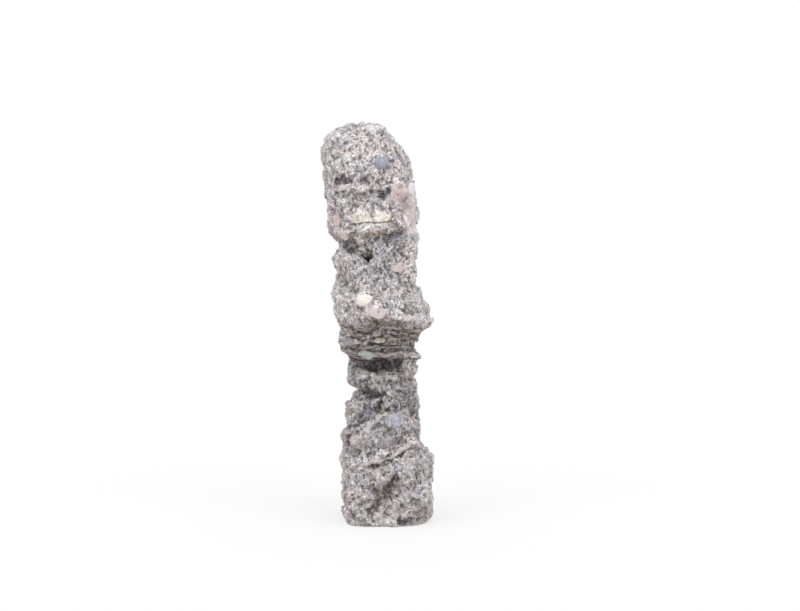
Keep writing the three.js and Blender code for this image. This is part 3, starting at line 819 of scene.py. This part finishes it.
def piece_material(name, looks, cloud_size):
    """A finish for separate pieces: each piece's own tint, clouded, with dark and white specks in it."""
    material, start, shader = new_material(name)
    point = start.add("ShaderNodeTexCoord", output="Object")
    tint = start.add("ShaderNodeAttribute", {"attribute_name": "tint"}, {}, "Color")
    specks = Cells(point, 0.9 * MM)
    base = tint.shade(point.noise(cloud_size, detail=5.0, roughness=0.7).rise(0.25, 0.75, 0.72, 1.16))
    base = (specks.pick("X").rise(0.84, 0.94) * 0.3).mix(base, tuple(looks.dark_matrix))
    base = (specks.pick("Y").rise(0.88, 0.96) * 0.3).mix(base, WHITE)
    roughness = point.noise(4 * MM, detail=2.0).rise(0.3, 0.7, 0.34, 0.7)
    height = point.noise(1.1 * MM, detail=4.0, roughness=0.7)
    finish_shader(start, shader, base, roughness, height, 0.4 * MM)
    return material


def numbers(items, name, width=1, kind=np.float32):
    """One property of each item of a mesh, such as each corner's place."""
    values = np.empty(len(items) * width, kind)
    items.foreach_get(name, values)
    return values.reshape(-1, width) if width > 1 else values


def smoothed(places, edges, rounds):
    """Places after each is moved to the middle of its neighbours, a number of times."""
    total = len(places)
    share = 1 / np.maximum(np.bincount(edges.ravel(), minlength=total), 1)
    for _ in range(rounds):
        sums = [
            np.bincount(edges[:, 0], places[edges[:, 1], axis], total)
            + np.bincount(edges[:, 1], places[edges[:, 0], axis], total)
            for axis in range(3)
        ]
        places = np.stack(sums, axis=1) * share[:, None]
    return places


def note_heights(mesh):
    """Stores how far each point stands out of its near and wide surroundings, and how much it faces up."""
    places = numbers(mesh.vertices, "co", 3, float)
    normals = numbers(mesh.vertices, "normal", 3, float)
    edges = numbers(mesh.edges, "vertices", 2, np.int32)
    near = ((places - smoothed(places, edges, NEAR_ROUNDS)) * normals).sum(axis=1)
    wide = ((places - smoothed(places, edges, WIDE_ROUNDS)) * normals).sum(axis=1)
    facing = smoothed(normals, edges, FACING_ROUNDS)[:, 2]
    for name, values in (("near_height", near), ("wide_height", wide), ("facing_up", facing)):
        attribute = mesh.attributes.new(name, "FLOAT", "POINT")
        attribute.data.foreach_set("value", values.astype(np.float32))


def round_share(places):
    """How far round the stone's axis places are, from 0 to 1."""
    return np.arctan2(places[:, 0], places[:, 1]) / (2 * math.pi) + 0.5


def unwrap_column(mesh):
    """Lays the stone's faces out round its axis, over a band that is kept for the underside."""
    band, edge, under_scale = 0.2, 0.01, 0.8
    places = numbers(mesh.vertices, "co", 3)[numbers(mesh.loops, "vertex_index", kind=np.int32)]
    centres = np.repeat(
        numbers(mesh.polygons, "center", 3), numbers(mesh.polygons, "loop_total", kind=np.int32), axis=0)
    across = round_share(places)
    across += np.round(round_share(centres) - across)
    up = places[:, 2] / STONE_HIGH.z
    spots = np.stack([edge + (1 - 2 * edge) * across, band + (1 - edge - band) * up], axis=1)
    under = centres[:, 2] < 0.3 * MM
    spots[under] = band / 2 + places[under, :2] * under_scale
    mesh.uv_layers.new(name=LAYOUT).data.foreach_set("uv", spots.astype(np.float32).ravel())


class BRECCIA_OT_body(bpy.types.Operator):
    """Makes the stone's fine surface from its solid"""

    bl_idname = "breccia.body"
    bl_label = "Stone Surface"

    def execute(self, context):
        looks = context.scene.breccia_body
        marks = Marks(solid_surface())
        source = place_in_scene("source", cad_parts["stone"].data.copy())
        for size, name, relief, shift in (
            (looks.coarse_voxel, "coarse relief", coarse_relief, COARSE_SHIFT),
            (looks.fine_voxel, "fine relief", fine_relief, FINE_SHIFT),
        ):
            add_tree(source, turn_tree("turned", SKEW))
            remesh(source, size)
            add_tree(source, turn_tree("turned back", SKEW.inverted()))
            add_tree(source, relief_tree(name, relief, shift, looks, marks))
        mesh = evaluated_mesh(source, "breccia")
        bpy.data.objects.remove(source)
        note_heights(mesh)
        unwrap_column(mesh)
        stone = keep(mesh, "breccia", stone_material(looks, marks))
        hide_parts("stone")
        return {"FINISHED"}


def hull_of(points):
    """The smallest closed solid round some points."""
    work = bmesh.new()
    for point in points:
        work.verts.new(point)
    made = bmesh.ops.convex_hull(work, input=work.verts)
    spare = [item for item in made["geom_interior"] if isinstance(item, bmesh.types.BMVert)]
    bmesh.ops.delete(work, geom=spare, context="VERTS")
    return work


def pebble(random, half):
    """A fragment that is worn round."""
    points = []
    for _ in range(ROUND_CORNERS):
        direction = random.normal(size=3)
        points.append(direction / np.linalg.norm(direction) * half)
    return hull_of(points)


def splinter(random, half):
    """A broken fragment: the hull of random points on a blunt box."""
    points = []
    for _ in range(ANGULAR_CORNERS):
        direction = random.normal(size=3)
        direction /= (np.abs(direction) ** 4).sum() ** (1 / 4)
        points.append(direction * half * random.uniform(0.72, 1.0))
    return hull_of(points)


def turn_to(normal, tilt):
    """The rotation that turns Z to a direction, with X kept level, and then turns by tilt about it."""
    out = Vector(normal)
    side = Vector((0, 0, 1)).cross(out)
    if side.length < 1e-3:
        side = Vector((1, 0, 0))
    side.normalize()
    turned = Matrix((side, out.cross(side), out)).transposed()
    return turned @ Matrix.Rotation(tilt, 3, "Z")


def lay_out(work, half):
    """Gives a fragment's faces their places in a unit square: outer faces left, inner faces right."""
    layer = work.loops.layers.uv.new(LAYOUT)
    for face in work.faces:
        middle = 0.25 if face.normal.z > -0.1 else 0.75
        for loop in face.loops:
            spot = loop.vert.co
            loop[layer].uv = (middle + 0.22 * spot.x / half[0], 0.5 + 0.45 * spot.y / half[1])


def tinted_piece(name, places, faces, spots, tints, material):
    """A piece of the stone made of many small shapes, with a layout and each corner's colour."""
    mesh = bpy.data.meshes.new(name)
    mesh.from_pydata(places, [], faces)
    mesh.uv_layers.new(name=LAYOUT).data.foreach_set("uv", np.array(spots, np.float32).ravel())
    attribute = mesh.color_attributes.new("tint", "FLOAT_COLOR", "POINT")
    attribute.data.foreach_set("color", np.array(tints, np.float32).ravel())
    keep(mesh, name, material)


def join_tinted(name, works, tints, material):
    """Joins fragments into one piece, with each one's tint on its corners and its own cell of the layout."""
    cells = math.ceil(math.sqrt(len(works)))
    places, faces, colours, spots = [], [], [], []
    for index, (work, tint) in enumerate(zip(works, tints)):
        work.verts.index_update()
        layer = work.loops.layers.uv[LAYOUT]
        first = len(places)
        places.extend(vert.co.copy() for vert in work.verts)
        colours.extend([rgba(tint)] * len(work.verts))
        for face in work.faces:
            faces.append([first + vert.index for vert in face.verts])
            for loop in face.loops:
                across, up = loop[layer].uv
                spots.append(((index % cells + across) / cells, (index // cells + up) / cells))
        work.free()
    tinted_piece(name, places, faces, spots, colours, material)


def fragment(random, place, normal, half, tilt, proud, shape=splinter):
    """One fragment, set in the surface. half is half its width and height, and proud is for its middle."""
    depth = min(half) * THICKNESS
    if shape is splinter:
        depth = min(depth, DEEPEST)
    work = shape(random, np.array((*half, depth)))
    width = min(half) * EDGE_WIDTH
    bmesh.ops.bevel(work, geom=list(work.edges), offset=width, segments=1, affect="EDGES", clamp_overlap=True)
    bmesh.ops.triangulate(work, faces=work.faces)
    lay_out(work, half)
    placed = turn_to(normal, tilt).to_4x4()
    placed.translation = Vector(place) + Vector(normal) * (depth * proud)
    bmesh.ops.transform(work, matrix=placed, verts=work.verts)
    for vert in work.verts:
        vert.co = [min(max(value, low), high) for value, low, high in zip(vert.co, STONE_LOW, STONE_HIGH)]
    return work


def spots_on(mesh, random, count):
    """Random places on a mesh, spread evenly over its area, with the surface's direction at each."""
    mesh.calc_loop_triangles()
    corners = numbers(mesh.loop_triangles, "vertices", 3, np.int32)
    areas = numbers(mesh.loop_triangles, "area")
    normals = numbers(mesh.loop_triangles, "normal", 3)
    triangles = numbers(mesh.vertices, "co", 3)[corners]
    chosen = random.choice(len(areas), count, p=areas / areas.sum(dtype=np.float64))
    shares = random.dirichlet((1, 1, 1), count)
    return (triangles[chosen] * shares[:, :, None]).sum(axis=1), normals[chosen]


def ball():
    """The corners and the triangles of a small ball."""
    work = bmesh.new()
    bmesh.ops.create_icosphere(work, subdivisions=1, radius=1)
    corners = np.array([vert.co for vert in work.verts])
    faces = np.array([[vert.index for vert in face.verts] for face in work.faces])
    work.free()
    return corners, faces


def tint_of(random, stops):
    """A colour drawn by how often each finish turns up, and varied a little."""
    draw = random.random()
    finish = np.array([finish for position, finish in stops if position <= draw][-1])
    return tuple(np.clip(finish * random.uniform(0.78, 1.18) * random.uniform(0.96, 1.04, 3), 0, 1))


class BRECCIA_OT_fragments(bpy.types.Operator):
    """Sets fragments in the stone: those that the eye finds first, and many more all round"""

    bl_idname = "breccia.fragments"
    bl_label = "Fragments"

    def execute(self, context):
        looks = context.scene.breccia_pieces
        random = np.random.default_rng(looks.seed)
        surface, solid = stone_surface(), solid_surface()
        works, tints = [], []
        for name, place, half, tilt, proud, tint in NAMED_FRAGMENTS:
            point, _ = seen_at(surface, *place)
            facing = (solid.find_nearest(point)[1] + view_axes()[1] * LEAN).normalized()
            half, tilt = np.array(half) * MM, math.radians(tilt)
            shape = pebble if name in WORN_ROUND else splinter
            works.append(fragment(random, point, facing, half, tilt, proud, shape))
            tints.append(tint)
        spots, _ = spots_on(bpy.data.objects["breccia"].data, random, looks.fragments)
        for spot in spots:
            share = random.random() ** 2.2
            width = looks.fragment_least + (looks.fragment_most - looks.fragment_least) * share
            half = np.array((width, width * random.uniform(0.5, 0.95)))
            normal = solid.find_nearest(Vector(spot))[1]
            tilt = random.uniform(-0.7, 0.7)
            works.append(fragment(random, spot, normal, half, tilt, random.uniform(-0.76, -0.6)))
            tints.append(tint_of(random, FRAGMENT_STOPS))
        material = piece_material("fragment", context.scene.breccia_body, 3.5 * MM)
        join_tinted("fragments", works, tints, material)
        return {"FINISHED"}


class BRECCIA_OT_grit(bpy.types.Operator):
    """Spreads angular grains over the stone"""

    bl_idname = "breccia.grit"
    bl_label = "Grit"

    def execute(self, context):
        looks = context.scene.breccia_pieces
        random = np.random.default_rng(looks.seed + 1)
        template, corners = ball()
        spots, normals = spots_on(bpy.data.objects["breccia"].data, random, looks.grains)
        sizes = looks.grain_least + (looks.grain_most - looks.grain_least) * random.random(looks.grains) ** 2
        places = np.empty((looks.grains, *template.shape))
        for index, (spot, normal) in enumerate(zip(spots, normals)):
            knocked = template * random.uniform(0.62, 1.15, (len(template), 1))
            knocked = knocked * random.uniform(0.6, 1.1, 3)
            turn = np.array(Matrix.Rotation(random.uniform(0, math.tau), 3, random.normal(size=3)))
            places[index] = knocked @ turn.T * sizes[index] + spot - normal * sizes[index] * GRAIN_SUNK
        places = np.clip(places, tuple(STONE_LOW), tuple(STONE_HIGH)).reshape(-1, 3)
        faces = (corners[None] + len(template) * np.arange(looks.grains)[:, None, None]).reshape(-1, 3)
        cells = math.ceil(math.sqrt(looks.grains))
        grain = np.repeat(np.arange(looks.grains), len(corners) * 3)
        inner = np.tile(((0.2, 0.2), (0.8, 0.2), (0.5, 0.8)), (looks.grains * len(corners), 1))
        layout = (np.stack([grain % cells, grain // cells], axis=1) + inner) / cells
        tints = [rgba(tint_of(random, GRIT_STOPS)) for _ in range(looks.grains)]
        tints = np.repeat(np.array(tints), len(template), axis=0)
        material = piece_material("grit", context.scene.breccia_body, 2 * MM)
        tinted_piece("grit", places.tolist(), faces.tolist(), layout, tints, material)
        return {"FINISHED"}


def far_light(name, turn, elevation, power, softness):
    """A soft light from far away. turn is degrees from the front to the right."""
    light = bpy.data.lights.new(name, "SUN")
    light.angle = math.radians(softness)
    light.energy = power
    place_in_scene(name, light).rotation_euler = (math.radians(90 - elevation), 0, math.radians(turn))


def make_floor(looks):
    """A wide pale floor. It glows, so that the shadow on it stays faint."""
    work = bmesh.new()
    bmesh.ops.create_circle(work, cap_ends=True, segments=FLOOR_SIDES, radius=FLOOR_RADIUS)
    mesh = bpy.data.meshes.new("floor")
    work.to_mesh(mesh)
    work.free()
    place_in_scene("floor", mesh)
    material, _, shader = new_material("floor")
    shader.inputs["Base Color"].default_value = rgba(looks.floor_colour)
    shader.inputs["Emission Color"].default_value = (1.0, 0.999, 0.997, 1.0)
    shader.inputs["Emission Strength"].default_value = looks.floor_glow
    shader.inputs["Roughness"].default_value = 0.9
    mesh.materials.append(material)


def make_surroundings(looks):
    """Bright surroundings, brightest at the height of the floor, so that no edge shows there."""
    world = bpy.data.worlds.new("surroundings")
    world.use_nodes = True
    background = world.node_tree.nodes["Background"]
    background.inputs["Color"].default_value = (1.0, 0.998, 0.995, 1.0)
    height = Wire(world.node_tree).add("ShaderNodeTexCoord", output="Generated").part("Z")
    brightness = height.rise(*HORIZON_BAND, looks.horizon, looks.sky)
    world.node_tree.links.new(brightness.socket, background.inputs["Strength"])
    bpy.context.scene.world = world


def make_camera():
    """The camera, in the photograph's place."""
    camera = bpy.data.cameras.new("camera")
    camera.sensor_width = SENSOR_WIDTH
    camera.lens = SENSOR_WIDTH * VIEW_DISTANCE / VIEW_WIDTH
    camera.clip_end = VIEW_FAR_END
    holder = place_in_scene("camera", camera)
    holder.location = camera_place()
    holder.rotation_euler = (view_target() - camera_place()).to_track_quat("-Z", "Y").to_euler()
    bpy.context.scene.camera = holder


class BRECCIA_OT_stage(bpy.types.Operator):
    """Makes the floor, the surroundings, the lights and the camera"""

    bl_idname = "breccia.stage"
    bl_label = "Stage"

    def execute(self, context):
        looks = context.scene.breccia_stage
        make_floor(looks)
        make_surroundings(looks)
        far_light("front left", -FRONT_TURN, FRONT_ELEVATION, looks.front_power, FRONT_SOFTNESS)
        far_light("front right", FRONT_TURN, FRONT_ELEVATION, looks.front_power, FRONT_SOFTNESS)
        far_light("top", 0, TOP_ELEVATION, looks.top_power, TOP_SOFTNESS)
        make_camera()
        context.scene.view_settings.view_transform = "Standard"
        return {"FINISHED"}


class BRECCIA_PT_sidebar(bpy.types.Panel):
    """Lists the operators and their settings"""

    bl_idname = "BRECCIA_PT_sidebar"
    bl_label = "Breccia Column"
    bl_space_type = "VIEW_3D"
    bl_region_type = "UI"
    bl_category = "Breccia"

    def draw(self, context):
        for operator in OPERATORS:
            self.layout.operator(operator.bl_idname)
        for name in LOOKS:
            box = self.layout.box()
            looks = getattr(context.scene, name)
            for key in looks.bl_rna.properties.keys():
                if key not in {"rna_type", "name"}:
                    box.prop(looks, key)


OPERATORS = (BRECCIA_OT_body, BRECCIA_OT_fragments, BRECCIA_OT_grit, BRECCIA_OT_stage)
LOOKS = {"breccia_body": BodyLooks, "breccia_pieces": PieceLooks, "breccia_stage": StageLooks}
CLASSES = (*LOOKS.values(), *OPERATORS, BRECCIA_PT_sidebar)


def register():
    """Adds the classes and the scene's settings."""
    for item in CLASSES:
        bpy.utils.register_class(item)
    for name, looks in LOOKS.items():
        setattr(bpy.types.Scene, name, bpy.props.PointerProperty(type=looks))


def unregister():
    """Takes the settings and the classes away."""
    for name in LOOKS:
        delattr(bpy.types.Scene, name)
    for item in reversed(CLASSES):
        bpy.utils.unregister_class(item)


def main():
    """Builds everything."""
    register()
    bpy.ops.breccia.body()
    bpy.ops.breccia.fragments()
    bpy.ops.breccia.grit()
    bpy.ops.breccia.stage()


if __name__ == "__main__":
    main()
